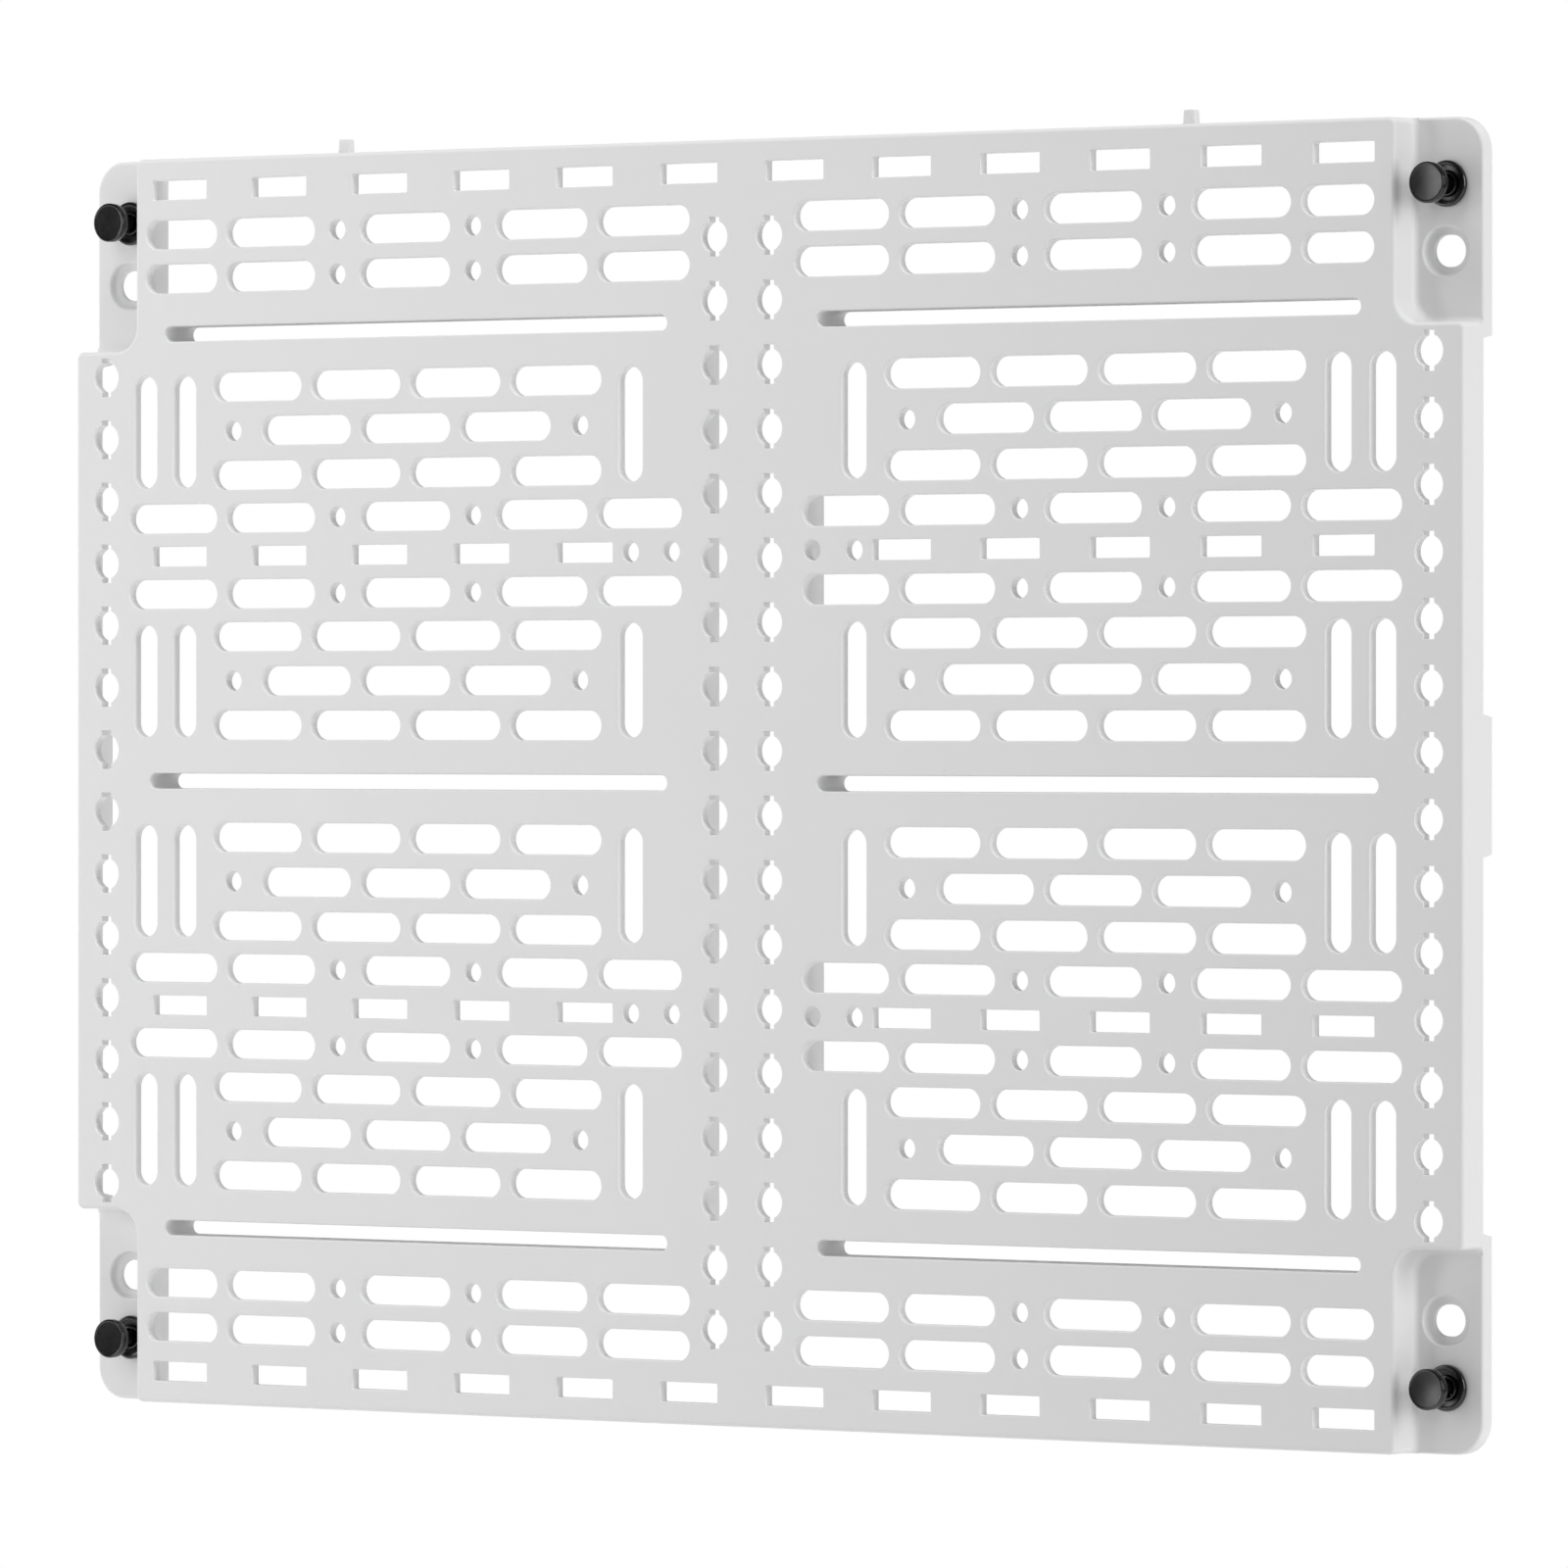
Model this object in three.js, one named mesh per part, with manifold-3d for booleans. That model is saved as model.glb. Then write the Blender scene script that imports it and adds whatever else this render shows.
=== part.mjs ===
// Perforated equipment plate, moulded in one piece, held to a wall by four push-in pins.
// Millimetres, +Z up, +X right. The face looks along -Y and the wall is on the +Y side.
// The origin is the middle of the face, and Y is the depth behind it.

import * as THREE from "three";
import { mergeVertices } from "three/addons/utils/BufferGeometryUtils.js";
import Module from "manifold-3d";

const wasm = await Module();
wasm.setup();

// ---- Plate -------------------------------------------------------------------------------
const PLATE_WIDTH = 339.5;
const PLATE_HEIGHT = 254;
const PLATE_DEPTH = 10.2; // face to the plane that rests on the wall
const PLATE_CORNER_RADIUS = 6.5;
const FACE_THICKNESS = 2.2;
const WALL = 1.2; // side walls, and the step walls round the ears
const SKIRT_SETBACK = 3.2; // side walls stop this far from the wall, but not at corners and tabs
const FOOT_PAST_EAR = 2.35; // full-depth side wall beyond each ear
const SIDE_TAB_HALF_HEIGHT = 13;
const RIB_THICKNESS = 1.5;
const RIB_INNER_X = 12.1;
const RIB_SETBACK = 0.9; // ribs and rims stop this far from the wall
const RIM_WALL = 1.5;

// ---- Ears: the recessed corners ----------------------------------------------------------
const EAR_WIDTH = 15.65;
const EAR_HEIGHT = 39.15;
const EAR_THICKNESS = 2.2;
const EAR_SETBACK = 1; // hollow between the ear and the wall
const EAR_INNER_RADIUS = 5.2;
const PIN_FROM_SIDE = { left: 9.2, right: 7.85 };
const PIN_FROM_END = 12.7;
const SCREW_FROM_SIDE = 8.5;
const SCREW_FROM_END = 25.4;
const SCREW_HOLE_WIDTH = 7; // oblong, so that the plate can be shifted sideways
const SCREW_HOLE_HEIGHT = 6.1;
const COUNTERBORE_RING = 1.65; // ledge round the screw hole
const COUNTERBORE_DEPTH = 1.4;

// ---- Locating tabs on the top edge -------------------------------------------------------
const TOP_TAB_X = 103.6;
const TOP_TAB_WIDTH = 3;
const TOP_TAB_HEIGHT = 3;
const TOP_TAB_THICKNESS = 2;
const TOP_TAB_SETBACK = 0.2; // from the back edge of the top wall
const TOP_TAB_TAPER = 0.3;

// ---- Perforations ------------------------------------------------------------------------
const SLOT_PITCH = 25.4;
const SLOT_WEB = 2.5; // bar left between two slots of a row
const SLOT_WIDTH = 5.9;
const SLOT_LENGTH = SLOT_PITCH - SLOT_WEB;
const ROW_PITCH = 9;
const BLOCK_X = 84.3; // middle of each half of the face
const BLOCK_Z = 45.8; // middle of each block of rows
const MIXED_PITCH = 34.6; // slots that alternate with round holes
const MIXED_END_OFFSET = 60;
const MIXED_ROW_OFFSET = 7.7;
const INNER_ROW_OFFSET = 16.4;
const BLOCK_ROUND_OFFSET = 44.25;
const UPRIGHT_OFFSETS = [-56.9, 57, 67.2];
const ROUND_DIAMETER = 4;
const CENTRE_ROUND_X = [17.3, 27.4];
const RECT_PITCH = 25.92;
const RECT_WIDTH = 14;
const RECT_HEIGHT = 4;
const RECT_COLUMNS = 6;
const EDGE_ROW_FROM_END = 6.4; // the row of rectangles along the top and bottom edges
const EDGE_SLOT_ROWS = [15.5, 24.5];
const EDGE_LONG_SLOT = 35.8;
const LONG_SLOT_HEIGHT = 3.1;
const LONG_SLOT_INNER_X = 18.4;
const LONG_SLOT_TO_EAR = 7.7;
const LONG_SLOT_TO_SIDE = 19.35;
const END_SLOT_CLEARANCE = { left: 1.5, right: 3.5 }; // short end slots to the ear's step wall
const RIB_CLEARANCE = 1.2;
const KEYHOLE_PITCH = 12.7;
const KEYHOLE_DIAMETER = 6.35;
const KEYHOLE_HEIGHT = 7.8;
const KEYHOLE_NOTCH = 2.4;
const KEYHOLE_CENTRE_X = 6.7;
const KEYHOLE_FROM_SIDE = 7.85;
const MIN_WEB = 0.6; // least plastic between two holes
const EDGE_CLEARANCE = 0.1; // least face between a hole and the wall behind it
const HOLE_ARC_STEPS = 2; // facets on each round end

// ---- Push-in pins ------------------------------------------------------------------------
const GAP = 0.3; // running and seating clearance
const SHAFT_DIAMETER = 3;
const SHANK_WALL = 0.7;
const FLANGE_DIAMETER = 8.9;
const FLANGE_THICKNESS = 1.1;
const FLANGE_CHAMFER = 0.3;
const WALL_SHEET = 1.5; // sheet that the barbs grip behind the plate
const BARB_STEP = 0.5;
const BARB_LEAD = 0.3;
const BARB_LENGTH = 4;
const LEG_SLOT = 0.8;
const LEG_SLOT_START = 1; // below the flange
const HEAD_DIAMETER = 7.9;
const HEAD_THICKNESS = 2;
const HEAD_ROUND = 0.45;
const TRAVEL = 4.25; // pulled out to pushed home
const TIP_REACH = 5; // shaft inside the grommet when it is pulled out
const TIP_TAPER = 0.5;
const LATHE_SEGMENTS = 16;

// ---- Worked out from the sizes above -----------------------------------------------------
const halfWidth = PLATE_WIDTH / 2;
const halfHeight = PLATE_HEIGHT / 2;
const earX = halfWidth - EAR_WIDTH;
const earZ = halfHeight - EAR_HEIGHT;
const innerEarX = earX - WALL;
const innerEarZ = earZ - WALL;
const skirtDepth = PLATE_DEPTH - SKIRT_SETBACK;
const ribDepth = PLATE_DEPTH - RIB_SETBACK;
const earBackDepth = PLATE_DEPTH - EAR_SETBACK;
const earDepth = earBackDepth - EAR_THICKNESS;
const edgeLongSlotZ = halfHeight - EDGE_LONG_SLOT;
const sideKeyholeX = halfWidth - KEYHOLE_FROM_SIDE;
const pinHeight = halfHeight - PIN_FROM_END;
const PAST = 1; // how far a cutting shape runs past the plastic

const plateMaterial = { color: 0xe6e7e9, roughness: 0.45, metalness: 0 };
const pinMaterial = { color: 0x0c0c0d, roughness: 0.25, metalness: 0 };

// ---- Solids ------------------------------------------------------------------------------
function toSolid(geometry) {
  const bare = geometry.index ? geometry.toNonIndexed() : geometry;
  bare.deleteAttribute("normal");
  bare.deleteAttribute("uv");
  const merged = mergeVertices(bare);
  return new wasm.Manifold(
    new wasm.Mesh({
      numProp: 3,
      vertProperties: merged.attributes.position.array,
      triVerts: Uint32Array.from(merged.index.array),
    }),
  );
}

function toMesh(name, solid, look) {
  const { vertProperties, triVerts } = solid.getMesh();
  const geometry = new THREE.BufferGeometry();
  geometry.setAttribute("position", new THREE.BufferAttribute(vertProperties, 3));
  geometry.setIndex(new THREE.BufferAttribute(triVerts, 1));
  geometry.computeVertexNormals();
  const mesh = new THREE.Mesh(geometry, new THREE.MeshStandardMaterial(look));
  mesh.name = name;
  return mesh;
}

// Extrudes outlines drawn in X and Z from depth `front` to depth `back`.
function extruded(shapes, front, back) {
  const depth = back - front;
  const geometry = new THREE.ExtrudeGeometry(shapes, {
    depth,
    bevelEnabled: false,
    curveSegments: HOLE_ARC_STEPS,
  });
  geometry.rotateX(Math.PI / 2);
  geometry.translate(0, back, 0);
  return toSolid(geometry);
}

// A block between two values of X, in either order, and two of Z.
function box(xs, zs, front, back) {
  const [x0, x1] = [Math.min(...xs), Math.max(...xs)];
  const [z0, z1] = [Math.min(...zs), Math.max(...zs)];
  return extruded(polygon([[x0, z0], [x1, z0], [x1, z1], [x0, z1]]), front, back);
}

// ---- Outlines ----------------------------------------------------------------------------
function polygon(corners) {
  return new THREE.Shape(corners.map(([x, z]) => new THREE.Vector2(x, z)));
}

function roundedRectangle(width, height, radius, steps) {
  const corners = [];
  for (let quarter = 0; quarter < 4; quarter += 1) {
    const signX = quarter === 0 || quarter === 3 ? 1 : -1;
    const signZ = quarter < 2 ? 1 : -1;
    for (let step = 0; step <= steps; step += 1) {
      const angle = ((quarter + step / steps) * Math.PI) / 2;
      corners.push([
        signX * (width / 2 - radius) + radius * Math.cos(angle),
        signZ * (height / 2 - radius) + radius * Math.sin(angle),
      ]);
    }
  }
  return polygon(corners);
}

// A slot with round ends that lies along X, or along Z where it is taller than it is wide.
function stadium({ x, z, width, height }, arcSteps = HOLE_ARC_STEPS) {
  const radius = Math.min(width, height) / 2;
  const turn = width >= height ? 0 : Math.PI / 2;
  const reach = Math.max(width, height) / 2 - radius;
  const outline = new THREE.Path();
  for (const end of [0, Math.PI]) {
    const middle = end + turn;
    const centreX = x + reach * Math.cos(middle);
    const centreZ = z + reach * Math.sin(middle);
    outline.absarc(centreX, centreZ, radius, middle - Math.PI / 2, middle + Math.PI / 2, false);
  }
  return new THREE.Shape(outline.getPoints(arcSteps / 2));
}

function roundHole({ x, z, width }) {
  const sides = 3 * HOLE_ARC_STEPS;
  const corners = [];
  for (let side = 0; side < sides; side += 1) {
    const angle = (side * 2 * Math.PI) / sides;
    corners.push([x + (width / 2) * Math.cos(angle), z + (width / 2) * Math.sin(angle)]);
  }
  return polygon(corners);
}

function rectangle({ x, z, width, height }) {
  return polygon([
    [x - width / 2, z - height / 2],
    [x + width / 2, z - height / 2],
    [x + width / 2, z + height / 2],
    [x - width / 2, z + height / 2],
  ]);
}

// A round hole with a notch above and below, drawn with eight corners.
function keyhole({ x, z, width, height }) {
  const notch = KEYHOLE_NOTCH / 2;
  const shoulder = width / 2 - notch;
  const corners = [
    [width / 2, -shoulder],
    [width / 2, shoulder],
    [notch, height / 2],
    [-notch, height / 2],
    [-width / 2, shoulder],
    [-width / 2, -shoulder],
    [-notch, -height / 2],
    [notch, -height / 2],
  ];
  return polygon(corners.map(([across, up]) => [x + across, z + up]));
}

// ---- Where the holes are -----------------------------------------------------------------
const holes = [];

function overlaps(a, b, web) {
  const apartX = Math.abs(a.x - b.x) - (a.width + b.width) / 2;
  const apartZ = Math.abs(a.z - b.z) - (a.height + b.height) / 2;
  return apartX < web && apartZ < web;
}

function onFace({ x, z, width, height }) {
  const farX = Math.abs(x) + width / 2 + EDGE_CLEARANCE;
  const farZ = Math.abs(z) + height / 2 + EDGE_CLEARANCE;
  if (farX > halfWidth - WALL || farZ > halfHeight - WALL) return false;
  return farX < innerEarX || farZ < innerEarZ;
}

// The pattern fills the face: a hole is cut where the face has room for it.
function addHole(outline, x, z, width, height) {
  const hole = { outline, x, z, width, height };
  if (onFace(hole) && !holes.some((other) => overlaps(hole, other, MIN_WEB))) holes.push(hole);
}

// A slot from one end to the other along X.
function addSlotBetween(x0, x1, z, height) {
  addHole(stadium, (x0 + x1) / 2, z, Math.abs(x1 - x0), height);
}

function addSlot(x, z) {
  addHole(stadium, x, z, SLOT_LENGTH, SLOT_WIDTH);
}

function addRound(x, z) {
  addHole(roundHole, x, z, ROUND_DIAMETER, ROUND_DIAMETER);
}

function addLongSlots(side) {
  const inner = side * LONG_SLOT_INNER_X;
  addSlotBetween(inner, side * (halfWidth - LONG_SLOT_TO_SIDE), 0, LONG_SLOT_HEIGHT);
  for (const level of [-1, 1]) {
    addSlotBetween(inner, side * (earX - LONG_SLOT_TO_EAR), level * edgeLongSlotZ, LONG_SLOT_HEIGHT);
  }
}

function addKeyholes(side) {
  const count = Math.floor(halfHeight / KEYHOLE_PITCH);
  for (const x of [side * KEYHOLE_CENTRE_X, side * sideKeyholeX]) {
    for (let index = -count; index < count; index += 1) {
      addHole(keyhole, x, (index + 0.5) * KEYHOLE_PITCH, KEYHOLE_DIAMETER, KEYHOLE_HEIGHT);
    }
  }
}

function addRectangles(side, z, firstColumn) {
  for (let column = firstColumn; column < RECT_COLUMNS; column += 1) {
    addHole(rectangle, side * (column + 0.5) * RECT_PITCH, z, RECT_WIDTH, RECT_HEIGHT);
  }
}

// Slots that alternate with round holes, round the middle of each half of the face.
function addMixedRow(side, z) {
  for (const step of [-1, 0, 1]) {
    addSlot(side * (BLOCK_X + step * MIXED_PITCH), z);
  }
  for (const step of [-0.5, 0.5]) {
    addRound(side * (BLOCK_X + step * MIXED_PITCH), z);
  }
}

// The two mixed rows of each edge band: their end slot stops short of the ear's step wall.
function addEdgeRows(side, level) {
  const clearance = side < 0 ? END_SLOT_CLEARANCE.left : END_SLOT_CLEARANCE.right;
  const endSlotInner = BLOCK_X + MIXED_END_OFFSET - SLOT_LENGTH / 2;
  for (const fromEnd of EDGE_SLOT_ROWS) {
    const z = level * (halfHeight - fromEnd);
    addMixedRow(side, z);
    addSlot(side * (BLOCK_X - MIXED_END_OFFSET), z);
    addSlotBetween(side * endSlotInner, side * (innerEarX - clearance), z, SLOT_WIDTH);
  }
}

// The two mixed rows in the middle of a block: their inner slot stops short of the rib.
function addMiddleRows(side, level) {
  const ribEnd = RIB_INNER_X + RIB_THICKNESS + RIB_CLEARANCE;
  const innerSlotEnd = BLOCK_X - MIXED_END_OFFSET + SLOT_LENGTH / 2;
  for (const offset of [-MIXED_ROW_OFFSET, MIXED_ROW_OFFSET]) {
    const z = level * (BLOCK_Z + offset);
    addMixedRow(side, z);
    addSlotBetween(side * ribEnd, side * innerSlotEnd, z, SLOT_WIDTH);
    addSlot(side * (BLOCK_X + MIXED_END_OFFSET), z);
  }
  addRectangles(side, level * BLOCK_Z, 1);
  for (const x of CENTRE_ROUND_X) addRound(side * x, level * BLOCK_Z);
}

// Three rows of slots, the middle one shifted by half a pitch and closed by round holes.
function addSlotBlock(side, middleZ) {
  for (const row of [-1, 1]) {
    for (const step of [-1.5, -0.5, 0.5, 1.5]) {
      addSlot(side * (BLOCK_X + step * SLOT_PITCH), middleZ + row * ROW_PITCH);
    }
  }
  for (const step of [-1, 0, 1]) {
    addSlot(side * (BLOCK_X + step * SLOT_PITCH), middleZ);
  }
  for (const offset of [-BLOCK_ROUND_OFFSET, BLOCK_ROUND_OFFSET]) {
    addRound(side * (BLOCK_X + offset), middleZ);
  }
  for (const offset of UPRIGHT_OFFSETS) {
    addHole(stadium, side * (BLOCK_X + offset), middleZ, SLOT_WIDTH, SLOT_LENGTH);
  }
}

for (const side of [-1, 1]) {
  addLongSlots(side);
  for (const level of [-1, 1]) {
    addRectangles(side, level * (halfHeight - EDGE_ROW_FROM_END), 0);
    addEdgeRows(side, level);
    addMiddleRows(side, level);
    for (const offset of [-1, 1]) {
      addSlotBlock(side, level * (BLOCK_Z + offset * (INNER_ROW_OFFSET + ROW_PITCH)));
    }
  }
  addKeyholes(side);
}

// ---- Plate -------------------------------------------------------------------------------
// The walls inside the back: two ribs, and a rim round each long slot.
function backWalls() {
  const walls = [];
  const ribEnd = edgeLongSlotZ - LONG_SLOT_HEIGHT / 2 - GAP;
  for (const side of [-1, 1]) {
    const rib = { x: side * (RIB_INNER_X + RIB_THICKNESS / 2), z: 0 };
    walls.push(rectangle({ ...rib, width: RIB_THICKNESS, height: 2 * ribEnd }));
  }
  const longSlots = holes.filter((hole) => hole.height === LONG_SLOT_HEIGHT);
  for (const slot of longSlots) {
    const width = slot.width + 2 * RIM_WALL;
    walls.push(stadium({ ...slot, width, height: slot.height + 2 * RIM_WALL }));
  }
  return walls;
}

// The hollow behind the face: as wide as the plate between the ears, narrower beside them.
function backHollow() {
  const sideX = halfWidth - WALL;
  const endZ = halfHeight - WALL;
  const outline = polygon([
    [sideX, -innerEarZ],
    [sideX, innerEarZ],
    [innerEarX, innerEarZ],
    [innerEarX, endZ],
    [-innerEarX, endZ],
    [-innerEarX, innerEarZ],
    [-sideX, innerEarZ],
    [-sideX, -innerEarZ],
    [-innerEarX, -innerEarZ],
    [-innerEarX, -endZ],
    [innerEarX, -endZ],
    [innerEarX, -innerEarZ],
  ]);
  const hollow = extruded(outline, FACE_THICKNESS, PLATE_DEPTH + PAST);
  return hollow.subtract(extruded(backWalls(), FACE_THICKNESS - PAST, ribDepth));
}

// The recess in front of one ear, with a rounded inner corner.
function earRecess(side, level) {
  const width = EAR_WIDTH + EAR_INNER_RADIUS;
  const height = EAR_HEIGHT + EAR_INNER_RADIUS;
  const recess = roundedRectangle(2 * width, 2 * height, EAR_INNER_RADIUS, 3);
  const solid = extruded(recess, -PAST, earDepth);
  return solid.translate(side * (earX + width), 0, level * (earZ + height));
}

// The hollow behind one ear. Its outer corner follows the plate's.
function earBack(side, level) {
  const depths = [earBackDepth, PLATE_DEPTH + PAST];
  const xs = [side * innerEarX, side * halfWidth];
  const zs = [level * innerEarZ, level * halfHeight];
  const radius = PLATE_CORNER_RADIUS - WALL;
  const inside = roundedRectangle(PLATE_WIDTH - 2 * WALL, PLATE_HEIGHT - 2 * WALL, radius, 4);
  return box(xs, zs, ...depths).intersect(extruded(inside, ...depths));
}

function pinX(side) {
  return side * (halfWidth - (side < 0 ? PIN_FROM_SIDE.left : PIN_FROM_SIDE.right));
}

// The pin's hole, the oblong screw hole, and the counterbore round that.
function earHoles(side, level) {
  const pinHole = SHAFT_DIAMETER + 2 * (GAP + SHANK_WALL + GAP);
  const centre = { x: side * (halfWidth - SCREW_FROM_SIDE), z: level * (halfHeight - SCREW_FROM_END) };
  const screw = { ...centre, width: SCREW_HOLE_WIDTH, height: SCREW_HOLE_HEIGHT };
  const ledge = 2 * COUNTERBORE_RING;
  const bore = { ...centre, width: screw.width + ledge, height: screw.height + ledge };
  const arcSteps = LATHE_SEGMENTS / 2;
  return [
    extruded(drilled({ x: pinX(side), z: level * pinHeight }, pinHole), earDepth - PAST, PLATE_DEPTH + PAST),
    extruded(stadium(screw, arcSteps), earDepth - PAST, PLATE_DEPTH + PAST),
    extruded(stadium(bore, arcSteps), earDepth - PAST, earDepth + COUNTERBORE_DEPTH),
  ];
}

function drilled({ x, z }, diameter) {
  const shape = new THREE.Shape();
  shape.absarc(x, z, diameter / 2, 0, 2 * Math.PI, false);
  return polygon(shape.getPoints(LATHE_SEGMENTS / 2).slice(0, -1).map((point) => [point.x, point.y]));
}

// The side walls stop at the skirt depth, except at the corners and at the side tabs.
function skirtCuts() {
  const cuts = [];
  const depths = [skirtDepth, PLATE_DEPTH + PAST];
  for (const side of [-1, 1]) {
    const xs = [side * (halfWidth - WALL - PAST), side * (halfWidth + PAST)];
    for (const level of [-1, 1]) {
      cuts.push(box(xs, [level * SIDE_TAB_HALF_HEIGHT, level * (earZ - FOOT_PAST_EAR)], ...depths));
    }
    const zs = [side * (halfHeight - WALL - PAST), side * (halfHeight + PAST)];
    cuts.push(box([-innerEarX, innerEarX], zs, ...depths));
  }
  return cuts;
}

// A locating tab that stands on the top wall and narrows a little upwards.
function topTab(side) {
  const foot = TOP_TAB_WIDTH / 2;
  const tip = foot - TOP_TAB_TAPER;
  const x = side * TOP_TAB_X;
  const outline = polygon([
    [x - foot, halfHeight - WALL],
    [x + foot, halfHeight - WALL],
    [x + foot, halfHeight],
    [x + tip, halfHeight + TOP_TAB_HEIGHT],
    [x - tip, halfHeight + TOP_TAB_HEIGHT],
    [x - foot, halfHeight],
  ]);
  const back = skirtDepth - TOP_TAB_SETBACK;
  return extruded(outline, back - TOP_TAB_THICKNESS, back);
}

function plate() {
  const block = roundedRectangle(PLATE_WIDTH, PLATE_HEIGHT, PLATE_CORNER_RADIUS, 4);
  let solid = extruded(block, 0, PLATE_DEPTH).subtract(backHollow());
  for (const cut of skirtCuts()) solid = solid.subtract(cut);
  for (const side of [-1, 1]) {
    for (const level of [-1, 1]) {
      solid = solid.subtract(earRecess(side, level)).subtract(earBack(side, level));
      for (const hole of earHoles(side, level)) solid = solid.subtract(hole);
    }
    solid = solid.add(topTab(side));
  }
  const outlines = holes.map((hole) => hole.outline(hole));
  return solid.subtract(extruded(outlines, -PAST, PLATE_DEPTH + PAST));
}

// ---- Push-in pins ------------------------------------------------------------------------
// Turns a profile of [radius, depth] points about the pin's axis.
function turned(profile) {
  const points = profile.map(([radius, depth]) => new THREE.Vector2(radius, depth));
  return toSolid(new THREE.LatheGeometry(points, LATHE_SEGMENTS));
}

const boreRadius = SHAFT_DIAMETER / 2 + GAP;
const shankRadius = boreRadius + SHANK_WALL;
const flangeBack = earDepth - GAP;
const flangeFront = flangeBack - FLANGE_THICKNESS;
const barbStart = PLATE_DEPTH + WALL_SHEET;
const grommetEnd = barbStart + BARB_LEAD + BARB_LENGTH;
const headBack = flangeFront - GAP - TRAVEL;
const headFront = headBack - HEAD_THICKNESS;
const shaftEnd = flangeFront + TIP_REACH;

// The flanged sleeve: its shank is split into four legs, with a barb at the end of each.
function grommet() {
  const flangeRadius = FLANGE_DIAMETER / 2;
  const solid = turned([
    [boreRadius, flangeFront],
    [flangeRadius - FLANGE_CHAMFER, flangeFront],
    [flangeRadius, flangeFront + FLANGE_CHAMFER],
    [flangeRadius, flangeBack],
    [shankRadius, flangeBack],
    [shankRadius, barbStart],
    [shankRadius + BARB_STEP, barbStart + BARB_LEAD],
    [boreRadius + GAP, grommetEnd],
    [boreRadius, grommetEnd],
    [boreRadius, flangeFront],
  ]);
  const reach = shankRadius + BARB_STEP + PAST;
  const across = [-reach, reach];
  const slot = [-LEG_SLOT / 2, LEG_SLOT / 2];
  const depths = [flangeBack + LEG_SLOT_START, grommetEnd + PAST];
  return solid.subtract(box(across, slot, ...depths)).subtract(box(slot, across, ...depths));
}

// The plunger: a round head and the shaft that spreads the legs when it is pushed home.
function plunger() {
  const headRadius = HEAD_DIAMETER / 2;
  const shaftRadius = SHAFT_DIAMETER / 2;
  return turned([
    [0, headFront],
    [headRadius - HEAD_ROUND, headFront],
    [headRadius, headFront + HEAD_ROUND],
    [headRadius, headBack],
    [shaftRadius, headBack],
    [shaftRadius, shaftEnd - TIP_TAPER],
    [shaftRadius - TIP_TAPER, shaftEnd],
    [0, shaftEnd],
  ]);
}

// ---- Assembly ----------------------------------------------------------------------------
const group = new THREE.Group();
group.add(toMesh("plate", plate(), plateMaterial));

const grommetSolid = grommet();
const plungerSolid = plunger();
for (const [level, height] of [[1, "upper"], [-1, "lower"]]) {
  for (const [side, hand] of [[-1, "left"], [1, "right"]]) {
    const pin = new THREE.Group();
    pin.position.set(pinX(side), 0, level * pinHeight);
    pin.add(toMesh(`grommet_${height}_${hand}`, grommetSolid, pinMaterial));
    pin.add(toMesh(`plunger_${height}_${hand}`, plungerSolid, pinMaterial));
    group.add(pin);
  }
}

export default group;
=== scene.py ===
"""Perforated wall plate with four push-in pins: fine meshes, finishes, light and camera.

Metres, +X right, +Z up. The face looks along -Y at depth 0, and the wall is on the +Y side.
"""

import math

import bmesh
import bpy
import numpy as np
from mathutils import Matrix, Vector


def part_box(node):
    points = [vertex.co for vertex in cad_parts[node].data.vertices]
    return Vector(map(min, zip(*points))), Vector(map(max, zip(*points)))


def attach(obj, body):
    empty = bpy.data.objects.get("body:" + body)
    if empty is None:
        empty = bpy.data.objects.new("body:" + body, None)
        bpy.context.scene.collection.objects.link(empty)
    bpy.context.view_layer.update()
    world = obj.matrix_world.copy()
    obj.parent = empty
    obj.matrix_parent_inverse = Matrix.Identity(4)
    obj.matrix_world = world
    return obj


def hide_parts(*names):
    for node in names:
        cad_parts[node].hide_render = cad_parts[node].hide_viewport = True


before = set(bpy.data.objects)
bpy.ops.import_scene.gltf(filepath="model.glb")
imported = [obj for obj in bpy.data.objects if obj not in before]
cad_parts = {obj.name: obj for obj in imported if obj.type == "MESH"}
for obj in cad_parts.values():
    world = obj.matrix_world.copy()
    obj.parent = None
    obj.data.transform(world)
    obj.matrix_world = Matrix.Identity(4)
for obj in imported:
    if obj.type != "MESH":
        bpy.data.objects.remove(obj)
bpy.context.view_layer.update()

MM = 0.001
SIDES = {"left": -1, "right": 1}
LEVELS = {"upper": 1, "lower": -1}

# ---- Sizes that the frame gives -------------------------------------------------------------
plate_low, plate_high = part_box("plate")
sleeve_low, sleeve_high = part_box("grommet_upper_right")
pin_low, pin_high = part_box("plunger_upper_right")
left_pin_low, left_pin_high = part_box("plunger_upper_left")

HALF_WIDTH = plate_high.x
HALF_HEIGHT = -plate_low.z
PLATE_DEPTH = plate_high.y
TAB_TOP = plate_high.z
PIN_X = {1: (pin_low.x + pin_high.x) / 2, -1: (left_pin_low.x + left_pin_high.x) / 2}
PIN_Z = (pin_low.z + pin_high.z) / 2
FLANGE_FRONT = sleeve_low.y
FLANGE_RADIUS = (sleeve_high.x - sleeve_low.x) / 2
SLEEVE_END = sleeve_high.y
HEAD_FRONT = pin_low.y
HEAD_RADIUS = (pin_high.x - pin_low.x) / 2
SHAFT_END = pin_high.y

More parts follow.
